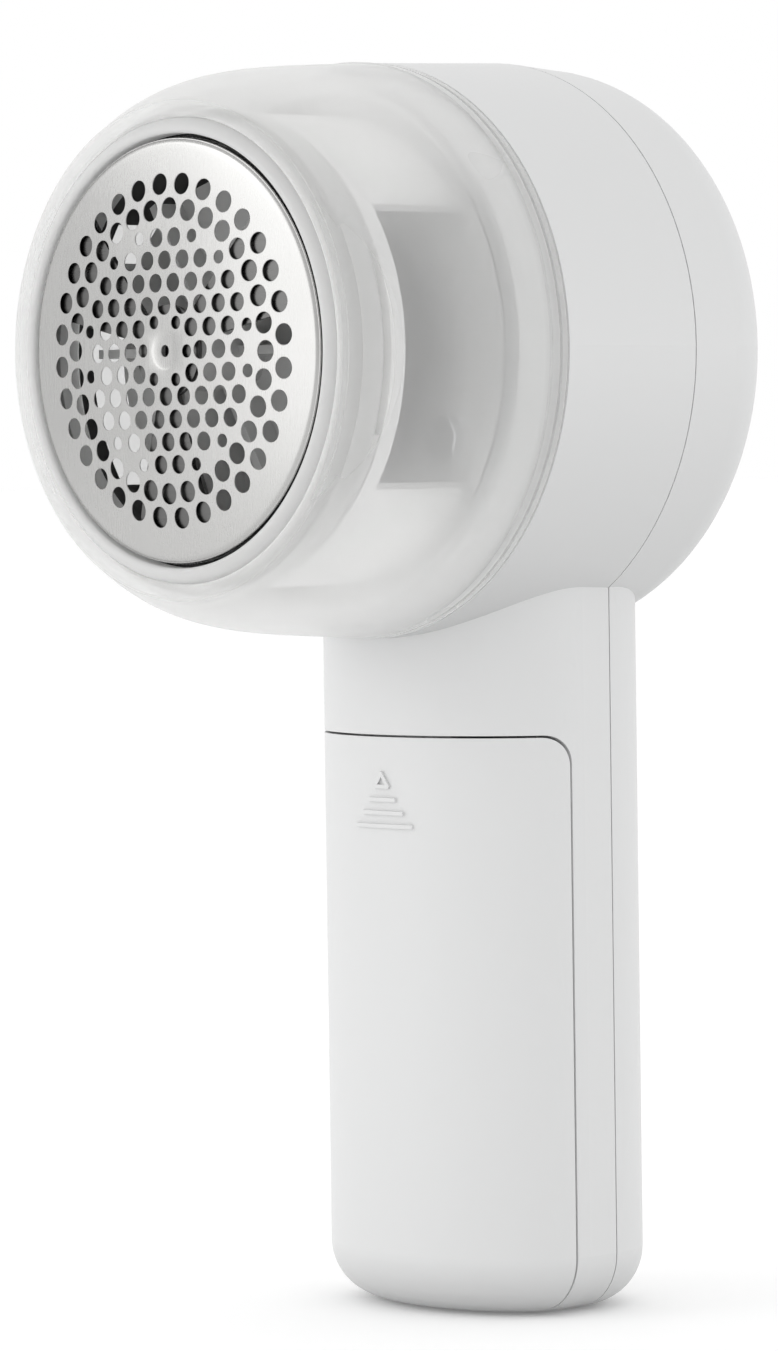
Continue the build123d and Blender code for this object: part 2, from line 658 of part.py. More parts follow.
def housing_screws():
    """Four screws that join the housings."""
    screws = [screw(HEAD_WELL_Y, 16.0, side * HEAD_SCREW_X, HEAD_SCREW_Z) for side in (-1, 1)]
    screws += [screw(NECK_WELL_Y, 13.0, side * NECK_SCREW_X, NECK_SCREW_Z) for side in (-1, 1)]
    return screws


def door_mark(skin):
    """Raised arrow of a small open triangle over three widening bars."""
    marks = []
    for k, width in enumerate((2.3, 4.4, 6.6, 9.2)):
        z = MARK_Z + MARK_STEP * (1 - k)
        marks.append(Pos(0, HANDLE_FRONT_Y, z) * Box(width, 8, MARK_LINE))
    for side in (-1, 1):
        leg = Pos(side * 0.52, HANDLE_FRONT_Y, MARK_Z + 1.5 * MARK_STEP) * Rot(0, side * -34, 0)
        marks.append(leg * Box(MARK_LINE, 8, 2.1))
    raised = handle_solid(-MARK_RISE) - skin
    shapes = []
    for mark in marks:
        shapes += (raised & mark & block(-9, 9, 0, 40, -60, -40)).solids()
    return shapes


def battery_door(shell):
    """Sliding door: front of the handle's lower part with tongue, rails and arrow."""
    door = shell & door_prism(DOOR_GAP)
    inner = handle_solid(WALL + SLIP)
    core = handle_solid(WALL + SLIP + 1.0)
    z_top = DOOR_TOP_Z - DOOR_GAP
    half = TONGUE_HALF_W
    tongue = (inner - core) & block(-half, half, 0, DOOR_SIDE_Y, z_top - 3.0, z_top + TONGUE_LEN)
    root = (handle_solid(WALL - 0.4) - inner) & block(-half, half, 0, DOOR_SIDE_Y, z_top - 3.0, z_top - 0.2)
    door += tongue + root
    rail_y1 = DOOR_SIDE_Y - DOOR_GAP
    rail_y0 = rail_y1 - RAIL_T
    ribs = handle_solid(WALL - 0.3) & block(-30, 30, rail_y0, rail_y1, -100.0, z_top - 5.0)
    ribs -= block(-RAIL_IN_X, RAIL_IN_X, rail_y0 - 1, rail_y1 + 1, -120, 0)
    door += ribs
    for mark in door_mark(handle_solid(0.2)):
        door += mark
    return door


def battery_tray():
    """Tray with two troughs, end walls and the hooks that hold the door's rails."""
    tray = block(-TRAY_HALF_W, TRAY_HALF_W, TRAY_FRONT_Y, TRAY_BACK_Y, TRAY_FOOT_Z, TRAY_TOP_Z)
    z0, z1 = TRAY_FOOT_Z + TRAY_WALL, TRAY_TOP_Z - TRAY_WALL
    for side in (-1, 1):
        x = side * CELL_X
        tray -= Pos(x, CELL_Y, z0) * Cylinder(TROUGH_R, z1 - z0, align=(Align.CENTER, Align.CENTER, Align.MIN))
        tray -= block(x - TROUGH_R, x + TROUGH_R, TRAY_FRONT_Y - 1, CELL_Y, z0, z1)
        hook_x0, hook_x1 = sorted((side * (TRAY_HALF_W - 0.3), side * (TRAY_HALF_W + 0.6)))
        for z in (-58.0, -94.0):
            tray += block(hook_x0, hook_x1, TRAY_FRONT_Y, TRAY_FRONT_Y + 0.9, z - 3.0, z + 3.0)
        tray -= Pos(x, LEAD_Y, z1) * Cylinder(LEAD_R + SLIP, 2 * TRAY_WALL + 1)
    for z in TRAY_SCREW_ZS:
        tray -= tube(SCREW_HEAD_R + SLIP, 0, TRAY_FRONT_Y - 1, TRAY_SEAT_Y, 0, z)
        tray -= tube(SCREW_R + SLIP, 0, TRAY_FRONT_Y, TRAY_BACK_Y + 1, 0, z)
    return tray


def tray_screws():
    """Two screws between the cells that hold the tray."""
    return [screw(TRAY_SEAT_Y, 7.0, 0, z, back=False) for z in TRAY_SCREW_ZS]


def cell(side):
    """Round cell with its nub; the two cells stand opposite ways up."""
    body = Cylinder(CELL_R, CELL_LEN, align=(Align.CENTER, Align.CENTER, Align.MIN))
    body = fillet(body.edges().filter_by(GeomType.CIRCLE), 0.6)
    body += Pos(0, 0, CELL_LEN) * Cylinder(2.7, NUB_LEN, align=(Align.CENTER, Align.CENTER, Align.MIN))
    if side > 0:
        return Pos(side * CELL_X, CELL_Y, TRAY_TOP_Z - TRAY_WALL - 0.5 - NEST - CELL_LEN - NUB_LEN) * body
    foot = TRAY_FOOT_Z + TRAY_WALL + 0.5 + NEST
    return Pos(side * CELL_X, CELL_Y, foot + CELL_LEN + NUB_LEN) * Rot(180, 0, 0) * body


def contact_plate(x0, x1, z0):
    """Flat contact behind the cells' ends."""
    return block(x0, x1, CELL_Y - PLATE_HALF, CELL_Y + PLATE_HALF, z0, z0 + PLATE_T)


def contact_bridge():
    """Plate at the foot that joins the two cells."""
    z0 = TRAY_FOOT_Z + TRAY_WALL + NEST
    reach = CELL_X + PLATE_HALF + 0.7
    plate = contact_plate(-reach, -1.2, z0) + contact_plate(1.2, reach, z0)
    return plate + block(-1.5, 1.5, CELL_Y - PLATE_HALF, CELL_Y - PLATE_HALF + 1.5, z0, z0 + PLATE_T)


def top_contact(side):
    """Plate at the top end of one cell."""
    z0 = TRAY_TOP_Z - TRAY_WALL - NEST - PLATE_T
    x = side * CELL_X
    return contact_plate(x - PLATE_HALF - 0.7, x + PLATE_HALF + 0.7, z0)


def contact_spring(side):
    """Spring at the flat end of one cell."""
    wire = 0.3
    spare = (TRAY_TOP_Z - TRAY_FOOT_Z) - 2 * TRAY_WALL - CELL_LEN - NUB_LEN - 1.0 - 3 * NEST
    length = spare - 2 * wire
    z0 = TRAY_FOOT_Z + TRAY_WALL + PLATE_T + NEST + wire + NEST
    if side < 0:
        z0 = TRAY_TOP_Z - TRAY_WALL - NEST - PLATE_T - NEST - wire - length
    spring = Rot(90, 0, 0) * coil(3.4, wire, length / 2.2, length, 0.0)
    return Pos(side * CELL_X, CELL_Y, z0) * spring


def switch_body():
    """Slide switch with two ears."""
    body = block(-4.5, 4.5, SWITCH_Y0, SWITCH_Y1, SWITCH_Z - 6, SWITCH_Z + 6)
    body += block(-2.4, 2.4, SWITCH_Y1 - 1.0, SWITCH_Y1, SWITCH_Z - 11, SWITCH_Z + 11)
    body -= block(-1.2, 1.2, SWITCH_Y1 - 2.5, SWITCH_Y1 + 1, SWITCH_Z - 4.4, SWITCH_Z + 4.4)
    for side in (-1, 1):
        body -= tube(EAR_SCREW_R + SLIP, 0, SWITCH_Y1 - 2, SWITCH_Y1 + 1, 0, SWITCH_Z + side * EAR_Z)
    return body


def switch_screws():
    """Two small screws through the switch's ears."""
    screws = []
    for side in (-1, 1):
        z = SWITCH_Z + side * EAR_Z
        head = tube(1.6, 0, SWITCH_Y1 - 2.2, SWITCH_Y1 - 1.0, 0, z)
        screws.append(head + tube(EAR_SCREW_R, 0, SWITCH_Y1 - 1.0, SWITCH_Y1 + 3.2, 0, z))
    return screws


def off_z():
    """Centre of the knob in the off position."""
    return SWITCH_Z - SWITCH_TRAVEL / 2


def switch_slider():
    """Lever of the switch that the knob's stem carries."""
    z = off_z()
    return block(-0.9, 0.9, SWITCH_Y1 - 2.2, SWITCH_Y1 + 2.0, z - 1.0, z + 1.0)


def switch_knob():
    """Ribbed thumb slide with a forked stem."""
    z = off_z()
    y0 = POCKET_FLOOR_Y + SLIP
    y1 = y0 + KNOB_RISE
    knob = block(-KNOB_W / 2, KNOB_W / 2, y0, y1, z - KNOB_H / 2, z + KNOB_H / 2)
    knob = fillet(knob.edges().filter_by(Axis.Y), 1.5)
    knob = fillet(knob.faces().sort_by(Axis.Y)[-1].edges(), 0.6)
    groove_x = KNOB_W / 2 - 1.5
    for k in range(-2, 3):
        knob -= block(-groove_x, groove_x, y1 - 0.5, y1 + 1, z + 2.0 * k - 0.4, z + 2.0 * k + 0.4)
    stem = block(-1.7, 1.7, SWITCH_Y1 + 0.8, y0 + 0.2, z - 2.0, z + 2.0)
    fork_x, fork_z = 0.9 + NEST, 1.0 + NEST
    stem -= block(-fork_x, fork_x, SWITCH_Y1 - 1, SWITCH_Y1 + 2.0 + NEST, z - fork_z, z + fork_z)
    return knob + stem


def lead(points, leave, arrive):
    """Round insulated wire through the points."""
    path = Spline(*points, tangents=[leave, arrive])
    start = Plane(origin=path @ 0, z_dir=path % 0)
    return sweep(start * Circle(LEAD_R), path=path)


def lead_negative():
    """Wire from the negative contact to the motor."""
    x = -CELL_X
    points = [(x, LEAD_Y, TRAY_TOP_Z - TRAY_WALL), (x + 0.7, LEAD_Y, -43), (x + 0.5, 45.0, -28)]
    points += [(-5.0, 46.2, -17), (-TERMINAL_X, 45.4, TERMINAL_Z - 0.9)]
    return lead(points, (0, 0, 1), (0, 0, 1))


def lead_positive():
    """Wire from the positive contact to the switch."""
    x = CELL_X
    points = [(x, LEAD_Y, TRAY_TOP_Z - TRAY_WALL), (x - 1.0, 44.8, -45.0), (3.0, SWITCH_Y0 - NEST, -41.5)]
    return lead(points, (0, 0, 1), (0, 1, 0))


def lead_switched():
    """Wire from the switch to the motor."""
    points = [(3.0, SWITCH_Y0 - NEST, -35.0), (4.2, 46.4, -29.0), (TERMINAL_X + 1.0, 46.2, -18.0),
              (TERMINAL_X, 45.4, TERMINAL_Z - 0.9)]
    return lead(points, (0, -1, 0), (0, 0, 1))


def save(name, shape):
    """Write one node as a STEP file in the rest frame."""
    shapes = shape if isinstance(shape, list) else [shape]
    solids = []
    for item in shapes:
        solids += (REST * item).solids()
    export_step(solids[0] if len(solids) == 1 else Compound(solids), "parts/" + name + ".step")


def main():
    """Build every node."""
    shell = housing_shell()
    can_end = MOTOR_FRONT_Y + MOTOR_LEN
    nodes = {
        "foil_mesh": foil_mesh(),
        "foil_ring": foil_ring(),
        "foil_retainer": foil_retainer(),
        "lint_cover": lint_cover(),
        "cutter_chamber": cutter_chamber(),
        "chamber_screws": chamber_screws(),
        "cutter_blades": cutter_blades(),
        "cutter_hub": cutter_hub(),
        "cutter_spring": cutter_spring(),
        "shaft_collar": shaft_collar(),
        "motor_shaft": motor_shaft(),
        "armature_core": armature_core(),
        "armature_windings": armature_windings(),
        "commutator": commutator(),
        "motor_can": motor_can(),
        "motor_bush_front": motor_bush(MOTOR_FRONT_Y - 1.0, MOTOR_FRONT_Y + 1.6),
        "motor_bush_rear": motor_bush(can_end + 0.2, can_end + CAP_T),
        "motor_magnets": motor_magnets(),
        "motor_cap": motor_cap(),
        "motor_brushes": motor_brushes(),
        "motor_terminals": motor_terminals(),
        "motor_bracket": motor_bracket(),
        "bracket_screws": bracket_screws(),
        "front_housing": front_housing(shell),
        "rear_housing": rear_housing(shell),
        "housing_screws": housing_screws(),
        "battery_door": battery_door(shell),
        "battery_tray": battery_tray(),
        "tray_screws": tray_screws(),
        "cell_left": cell(-1),
        "cell_right": cell(1),
        "contact_bridge": contact_bridge(),
        "contact_positive": top_contact(1),
        "contact_negative": top_contact(-1),
        "spring_lower": contact_spring(1),
        "spring_upper": contact_spring(-1),
        "switch_body": switch_body(),
        "switch_screws": switch_screws(),
        "switch_slider": switch_slider(),
        "switch_knob": switch_knob(),
        "lead_negative": lead_negative(),
        "lead_positive": lead_positive(),
        "lead_switched": lead_switched(),
    }
    for name, shape in nodes.items():
        save(name, shape)


main()
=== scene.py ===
from math import cos, pi, radians, sin, sqrt

import bmesh
import bpy
from bpy.props import FloatProperty, FloatVectorProperty, PointerProperty
from mathutils import Matrix, Vector
from mathutils.geometry import delaunay_2d_cdt


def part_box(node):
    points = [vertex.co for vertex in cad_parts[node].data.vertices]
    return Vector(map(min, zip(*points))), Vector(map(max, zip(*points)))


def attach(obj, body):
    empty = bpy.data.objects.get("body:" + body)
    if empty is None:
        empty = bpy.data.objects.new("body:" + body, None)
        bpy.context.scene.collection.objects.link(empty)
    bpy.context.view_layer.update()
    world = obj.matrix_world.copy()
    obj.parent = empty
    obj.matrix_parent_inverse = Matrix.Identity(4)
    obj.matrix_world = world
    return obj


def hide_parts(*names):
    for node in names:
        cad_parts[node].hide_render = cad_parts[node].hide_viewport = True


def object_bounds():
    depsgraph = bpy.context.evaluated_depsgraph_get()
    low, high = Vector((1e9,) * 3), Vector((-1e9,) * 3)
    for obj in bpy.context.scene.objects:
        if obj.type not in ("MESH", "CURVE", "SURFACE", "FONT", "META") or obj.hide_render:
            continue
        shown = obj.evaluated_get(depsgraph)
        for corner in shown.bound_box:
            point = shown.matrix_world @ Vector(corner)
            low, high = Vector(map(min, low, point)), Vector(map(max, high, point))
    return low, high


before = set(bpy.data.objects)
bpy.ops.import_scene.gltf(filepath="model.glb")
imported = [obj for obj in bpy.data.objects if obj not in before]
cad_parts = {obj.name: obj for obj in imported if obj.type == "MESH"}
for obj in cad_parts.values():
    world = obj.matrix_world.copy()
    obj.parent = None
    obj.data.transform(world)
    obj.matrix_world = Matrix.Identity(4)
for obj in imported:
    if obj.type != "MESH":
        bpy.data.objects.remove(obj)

bl_info = {
    "name": "Fabric shaver",
    "version": (1, 0, 0),
    "blender": (4, 5, 0),
    "location": "View3D > Sidebar > Shaver",
    "description": "Builds the looks of a battery fabric shaver round its packed frame",
    "category": "Object",
}

MM = 0.001
CAD_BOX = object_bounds()

# The head's own axes: the foil's edge plane is y = 0 and the cutter's axis is x = z = 0.
FOIL_CROWN_RADIUS = 185.0 * MM
FOIL_RADIUS = 23.5 * MM
FOIL_SAGITTA = FOIL_CROWN_RADIUS - sqrt(FOIL_CROWN_RADIUS ** 2 - FOIL_RADIUS ** 2)
FOIL_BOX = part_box("foil_mesh")
HEAD = Vector((0.0, FOIL_BOX[0].y + FOIL_SAGITTA, (FOIL_BOX[0].z + FOIL_BOX[1].z) / 2))
COVER_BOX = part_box("lint_cover")
COVER_REAR_RADIUS = (COVER_BOX[1].x - COVER_BOX[0].x) / 2
COVER_REAR_Y = COVER_BOX[1].y - HEAD.y

# The foil's own details, and the depth where the well's painted shade ends, in millimetres.
ROLL = 0.8 * MM              # rounding from the foil's face to its skirt
EASE = 0.05 * MM             # rounding of the holes' edges
FLANGE = 1.1 * MM
SKIRT = 2.2 * MM
DIMPLE_RADIUS = 2.2 * MM
DIMPLE_SLOPE = 0.4 * MM
DIMPLE_DEPTH = 0.07 * MM
HOLE_STEPS = 28
EDGE_STEPS = 192
WELL_SHADE_END = 27.0


class ShaverSizes(bpy.types.PropertyGroup):
    """Sizes that shape the new pieces."""

    hole_pitch: FloatProperty(
        name="Hole pitch", description="Grid distance between the foil's holes", unit="LENGTH",
        default=2.884 * MM)
    hole_width: FloatProperty(
        name="Hole width", description="Diameter of the foil's grid holes", unit="LENGTH",
        default=2.05 * MM)
    ring_hole_width: FloatProperty(
        name="Ring hole width", description="Diameter of the holes in the foil's two rings", unit="LENGTH",
        default=2.35 * MM)
    small_hole_width: FloatProperty(
        name="Small hole width", description="Diameter of the foil's small holes", unit="LENGTH",
        default=1.45 * MM)
    foil_thickness: FloatProperty(
        name="Foil thickness", description="Thickness of the foil's sheet", unit="LENGTH",
        default=0.16 * MM)
    rim_radius: FloatProperty(
        name="Rim radius", description="Outer radius of the cover's front face", unit="LENGTH",
        default=27.55 * MM)
    cover_wall: FloatProperty(
        name="Cover wall", description="Wall of the frosted cover", unit="LENGTH",
        default=1.6 * MM)


class ShaverColours(bpy.types.PropertyGroup):
    """Colours of the shaver's main finishes."""

    housing: FloatVectorProperty(
        name="Housing", description="White moulded housing", subtype="COLOR", size=3,
        default=(0.695, 0.698, 0.698))
    frosted: FloatVectorProperty(
        name="Frosted plastic", description="Translucent cover", subtype="COLOR", size=3,
        default=(0.915, 0.915, 0.91))
    chamber: FloatVectorProperty(
        name="Chamber", description="White plastic round the cutter", subtype="COLOR", size=3,
        default=(0.93, 0.93, 0.925))
    steel: FloatVectorProperty(
        name="Steel", description="Stainless sheet", subtype="COLOR", size=3,
        default=(0.475, 0.472, 0.465))
    cell: FloatVectorProperty(
        name="Cell jacket", description="Printed sleeve of the cells", subtype="COLOR", size=3,
        default=(0.05, 0.13, 0.2))
    floor: FloatVectorProperty(
        name="Floor", description="Pale floor", subtype="COLOR", size=3,
        default=(0.95, 0.95, 0.95))


class Port:
    """A socket that carries a value; adding and multiplying make Math nodes."""

    def __init__(self, graph, socket):
        self.graph = graph
        self.socket = socket

    def __add__(self, other):
        return self.graph.make("ShaderNodeMath", {"operation": "ADD"}, {0: self, 1: other})

    def __mul__(self, other):
        return self.graph.make("ShaderNodeMath", {"operation": "MULTIPLY"}, {0: self, 1: other})


class Finish:
    """A material being made: one Principled shader and the nodes that feed it."""

    def __init__(self, name, **shader):
        self.material = bpy.data.materials.new(name)
        self.material.use_nodes = True
        self.tree = self.material.node_tree
        self.tree.nodes.clear()
        self.output = self.tree.nodes.new("ShaderNodeOutputMaterial")
        self.shader = self.tree.nodes.new("ShaderNodeBsdfPrincipled")
        self.tree.links.new(self.shader.outputs[0], self.output.inputs[0])
        for socket, value in shader.items():
            self.set(self.shader.inputs[socket.replace("_", " ")], value)

    def set(self, socket, value):
        """Link a port to the socket, or set its value."""
        if isinstance(value, Port):
            self.tree.links.new(value.socket, socket)
            return
        if socket.type == "RGBA" and hasattr(value, "__len__"):
            value = tuple(value)[:3] + (1.0,)
        elif socket.type == "RGBA":
            value = (value, value, value, 1.0)
        elif socket.type == "VECTOR" and not hasattr(value, "__len__"):
            value = (value, value, value)
        socket.default_value = value

    def make(self, kind, settings=None, sockets=None, output=0):
        """Any node: its settings first, then the values or links of its sockets."""
        node = self.tree.nodes.new(kind)
        for key, value in (settings or {}).items():
            setattr(node, key, value)
        for key, value in (sockets or {}).items():
            self.set(node.inputs[key], value)
        return Port(self, node.outputs[output])

    def place(self, scale=(1.0, 1.0, 1.0), origin=(0.0, 0.0, 0.0)):
        """Object coordinates in millimetres from an origin given in metres, scaled."""
        spot = self.make("ShaderNodeTexCoord", output=3)
        shift = tuple(-v for v in origin)
        shifted = self.make("ShaderNodeVectorMath", {"operation": "ADD"}, {0: spot, 1: shift})
        per_mm = tuple(v / MM for v in scale)
        return self.make("ShaderNodeVectorMath", {"operation": "MULTIPLY"}, {0: shifted, 1: per_mm})

    def about_axis(self):
        """Radius about the cutter's axis and depth behind the foil's edge, in millimetres."""
        where = self.place(origin=HEAD)
        flatten = (1.0, 0.0, 1.0)
        across = self.make("ShaderNodeVectorMath", {"operation": "MULTIPLY"}, {0: where, 1: flatten})
        radius = self.make("ShaderNodeVectorMath", {"operation": "LENGTH"}, {0: across}, 1)
        return radius, self.make("ShaderNodeSeparateXYZ", None, {0: where}, 1)

    def painted_underside_shade(self, colour, share):
        """Colour with painted shade: it falls to a share of itself where the surface faces down."""
        normal = self.make("ShaderNodeNewGeometry", output=1)
        upward = self.make("ShaderNodeSeparateXYZ", None, {0: normal}, 2)
        return self.blend(self.spread(upward, -0.9, 0.0, 1.0, 0.0), colour, darker(colour, share))

    def noise(self, where, size, detail=2.0, rough=0.5):
        """Noise of about that grain size in millimetres."""
        sockets = {"Vector": where, "Scale": 1.0 / size, "Detail": detail, "Roughness": rough}
        return self.make("ShaderNodeTexNoise", None, sockets)

    def spread(self, value, low, high, to_low, to_high):
        """Value mapped from one range to another, clamped."""
        sockets = {0: value, 1: low, 2: high, 3: to_low, 4: to_high}
        return self.make("ShaderNodeMapRange", {"clamp": True}, sockets)

    def blend(self, mask, first, second):
        """Colour mix by a mask."""
        return self.make("ShaderNodeMix", {"data_type": "RGBA"}, {0: mask, 6: first, 7: second}, 2)

    def bump(self, height, strength, distance):
        """Raise the surface by a height; the distance is in millimetres."""
        sockets = {"Strength": strength, "Distance": distance * MM, "Height": height}
        port = self.make("ShaderNodeBump", None, sockets)
        self.set(self.shader.inputs["Normal"], port)

    def overlay(self, kind, factor, **sockets):
        """Mix another kind of shader over what the output shows so far."""
        under = self.output.inputs[0].links[0].from_socket
        mix = self.make("ShaderNodeMixShader", None, {0: factor, 2: self.make(kind, None, sockets)})
        self.tree.links.new(under, mix.socket.node.inputs[1])
        self.tree.links.new(mix.socket, self.output.inputs[0])

    def feed(self, **sockets):
        """Link ports or values to the shader."""
        for key, value in sockets.items():
            self.set(self.shader.inputs[key.replace("_", " ")], value)


def colours():
    """The scene's colour settings."""
    return bpy.context.scene.shaver_colours


def sizes():
    """The scene's size settings."""
    return bpy.context.scene.shaver_sizes


def darker(colour, share):
    """A share of a colour."""
    return tuple(c * share for c in colour)


def moulded(name, colour, roughness, tint=0.02, under=1.0):
    """Injection-moulded plastic with a fine spark-eroded grain, faint flow mottling and, where `under` is
    below one, painted shade on faces that point down.
    """
    finish = Finish(name, Specular_IOR_Level=0.45)
    where = finish.place()
    fine = finish.noise(where, 0.35, 3.0, 0.6)
    cloud = finish.noise(where, 22.0, 2.0, 0.45)
    mottle = finish.spread(cloud, 0.35, 0.65, 0.0, 1.0)
    # both the mottled tone and the plain colour take the painted shade of downward faces
    shade = finish.painted_underside_shade(darker(colour, 1.0 - tint), under)
    finish.feed(Base_Color=finish.blend(mottle, shade, finish.painted_underside_shade(colour, under)))
    uneven = cloud * 0.5 + fine * 0.5
    finish.feed(Roughness=finish.spread(uneven, 0.3, 0.7, roughness - 0.05, roughness + 0.05))
    finish.bump(fine, 0.35, 0.006)
    return finish.material


def plastic_with_painted_well_shade(name, colour, roughness, well_radius, floor_depth, under=1.0):
    """Moulded plastic with painted shade: near black inside the cutter's well, paler towards the edge of
    the well's floor, and darker on downward faces outside the well.
    """
    finish = Finish(name, Specular_IOR_Level=0.45)
    radius, depth = finish.about_axis()
    fine = finish.noise(finish.place(), 0.35, 3.0, 0.6)
    # painted shade: walls and floor inside the cutter's well are darkened as a recess in shade
    well_shade_mask = finish.spread(radius, well_radius - 0.05, well_radius + 0.05, 1.0, 0.0)
    well_shade_mask = well_shade_mask * finish.spread(depth, WELL_SHADE_END - 0.1, WELL_SHADE_END + 0.1, 1.0, 0.0)
    on_floor = finish.spread(depth, floor_depth - 0.05, floor_depth + 0.05, 0.0, 1.0)
    # painted light: the well's floor lightens from its middle towards its edge
    floor_light_ramp = finish.spread(radius, 14.5, 21.0, 0.0, 1.0)
    floor = finish.blend(floor_light_ramp, darker(colour, 0.08), colour)
    inside = finish.blend(on_floor, darker(colour, 0.05), floor)
    # outside the well the colour keeps the painted shade of downward faces
    finish.feed(Base_Color=finish.blend(well_shade_mask, finish.painted_underside_shade(colour, under), inside))
    finish.feed(Roughness=finish.spread(fine, 0.3, 0.7, roughness - 0.05, roughness + 0.05))
    finish.bump(fine, 0.35, 0.006)
    return finish.material


def metal(name, colour, roughness, lines=(1.0, 1.0, 1.0), line_size=0.2):
    """Metal with drawn or brushed lines; `lines` stretches them."""
    finish = Finish(name, Metallic=1.0)
    streak = finish.noise(finish.place(lines), line_size, 4.0, 0.65)
    cloud = finish.noise(finish.place(), 6.0, 2.0, 0.5)
    drawn = finish.spread(streak, 0.3, 0.7, 0.0, 1.0)
    finish.feed(Base_Color=finish.blend(drawn, darker(colour, 0.86), colour))
    uneven = streak * 0.6 + cloud * 0.4
    finish.feed(Roughness=finish.spread(uneven, 0.3, 0.7, roughness - 0.06, roughness + 0.06))
    finish.bump(streak, 0.3, 0.003)
    return finish.material


def foil_steel(name, colour, roughness):
    """Upright brushed steel; the skirt below the rolled edge is painted near black as the shadow in the gap
    round the foil.
    """
    finish = Finish(name, Metallic=1.0)
    streak = finish.noise(finish.place((1.0, 1.0, 0.03)), 0.12, 4.0, 0.65)
    cloud = finish.noise(finish.place(), 7.0, 2.0, 0.5)
    radius, depth = finish.about_axis()
    drawn = finish.spread(streak, 0.3, 0.7, 0.0, 1.0)
    brushed = finish.blend(drawn, darker(colour, 0.93), colour)
    # painted shadow: the skirt below the rolled edge is near black, standing in for the dark gap between
    # foil and ring
    gap_shadow_mask = finish.spread(depth, 0.28, 0.34, 0.0, 1.0) * finish.spread(radius, 23.2, 23.3, 0.0, 1.0)
    finish.feed(Base_Color=finish.blend(gap_shadow_mask, brushed, (0.02, 0.02, 0.02)))
    uneven = streak * 0.6 + cloud * 0.4
    finish.feed(Roughness=finish.spread(uneven, 0.3, 0.7, roughness - 0.04, roughness + 0.04))
    finish.bump(streak, 0.2, 0.0015)
    return finish.material


def frosted_plastic(name, colour, roughness, clear):
    """Milky satin plastic; `clear` is the share of light that goes straight through, less at a slant."""
    finish = Finish(name, IOR=1.3, Transmission_Weight=0.2, Specular_IOR_Level=0.5)
    where = finish.place()
    fine = finish.noise(where, 0.5, 3.0, 0.6)
    cloud = finish.noise(where, 18.0, 2.0, 0.5)
    mottle = finish.spread(cloud, 0.35, 0.65, 0.0, 1.0)
    finish.feed(Base_Color=finish.blend(mottle, darker(colour, 0.99), colour))
    finish.feed(Roughness=finish.spread(cloud, 0.3, 0.7, roughness - 0.03, roughness + 0.03))
    radius, depth = finish.about_axis()
    edge = finish.spread(radius, 27.45, 27.55, 0.0, 1.0) * finish.spread(radius, 27.75, 27.85, 1.0, 0.0)
    edge = edge * finish.spread(depth, 0.8, 1.0, 1.0, 0.0)
    finish.bump(fine * (edge * 12.0 + 1.0), 0.06, 0.001)
    finish.overlay("ShaderNodeBsdfTranslucent", 0.3, Color=colour)
    facing = finish.make("ShaderNodeLayerWeight", None, {0: 0.5}, 1)
    finish.overlay("ShaderNodeBsdfTransparent", finish.spread(facing, 0.1, 0.9, clear, 0.15 * clear))
    return finish.material


def jacket(name, colour):
    """Printed cell sleeve under a thin clear coat."""
    finish = Finish(name, Metallic=0.35, Coat_Weight=0.4, Coat_Roughness=0.15)
    fine = finish.noise(finish.place(), 0.8, 2.0, 0.5)
    speckle = finish.spread(fine, 0.3, 0.7, 0.0, 1.0)
    finish.feed(Base_Color=finish.blend(speckle, darker(colour, 0.9), colour))
    finish.feed(Roughness=finish.spread(fine, 0.3, 0.7, 0.26, 0.34))
    finish.bump(fine, 0.2, 0.003)
    return finish.material


def repaint(material, *nodes):
    """Give a material to CAD nodes through their material slots."""
    for name in nodes:
        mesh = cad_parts[name]
        for place in mesh.material_slots:
            place.material = material


def add_piece(name, bm, body, material, slot, *replaced, angle=30.0):
    """Turn a bmesh into a piece that rides on a body and stands for CAD nodes."""
    mesh = bpy.data.meshes.new(name)
    bm.to_mesh(mesh)
    bm.free()
    mesh.materials.append(material)
    mesh.shade_smooth()
    mesh.set_sharp_from_angle(angle=radians(angle))
    piece = bpy.data.objects.new(name, mesh)
    bpy.context.scene.collection.objects.link(piece)
    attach(piece, body)
    if replaced:
        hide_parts(*replaced)
    return piece


def at_head(r, y, angle):
    """Point at radius r and depth y, turned `angle` about the cutter's axis."""
    return HEAD + Vector((r * cos(angle), y, r * sin(angle)))


def lathe(outline, steps=256):
    """Closed ring of (r, y) points turned about the cutter's axis."""
    bm = bmesh.new()
    rings = []
    for k in range(steps):
        turn = 2 * pi * k / steps
        rings.append([bm.verts.new(at_head(r, y, turn)) for r, y in outline])
    count = len(outline)
    for k in range(steps):
        here, there = rings[k], rings[(k + 1) % steps]
        for i in range(count):
            j = (i + 1) % count
            bm.faces.new((here[i], here[j], there[j], there[i]))
    bmesh.ops.recalc_face_normals(bm, faces=bm.faces)
    return bm


def in_mm(*points):
    """Points given in millimetres, in metres."""
    return [tuple(v * MM for v in point) for point in points]


def bowl_radius(t):
    """Cover radius between the rim (t = 0) and the rear edge (t = 1)."""
    swell = 0.62 * (1 - (1 - t) ** 6) + 0.38 * t ** 0.8
    rim = sizes().rim_radius
    return rim + (COVER_REAR_RADIUS - rim) * swell


def crown(r, drop=0.0):
    """Depth of the foil's crown at radius r, with a shallow dimple in the middle."""
    dimple = DIMPLE_DEPTH * min(1.0, max(0.0, (DIMPLE_RADIUS - r) / DIMPLE_SLOPE))
    return FOIL_CROWN_RADIUS - FOIL_SAGITTA - sqrt(FOIL_CROWN_RADIUS ** 2 - r * r) + drop + dimple


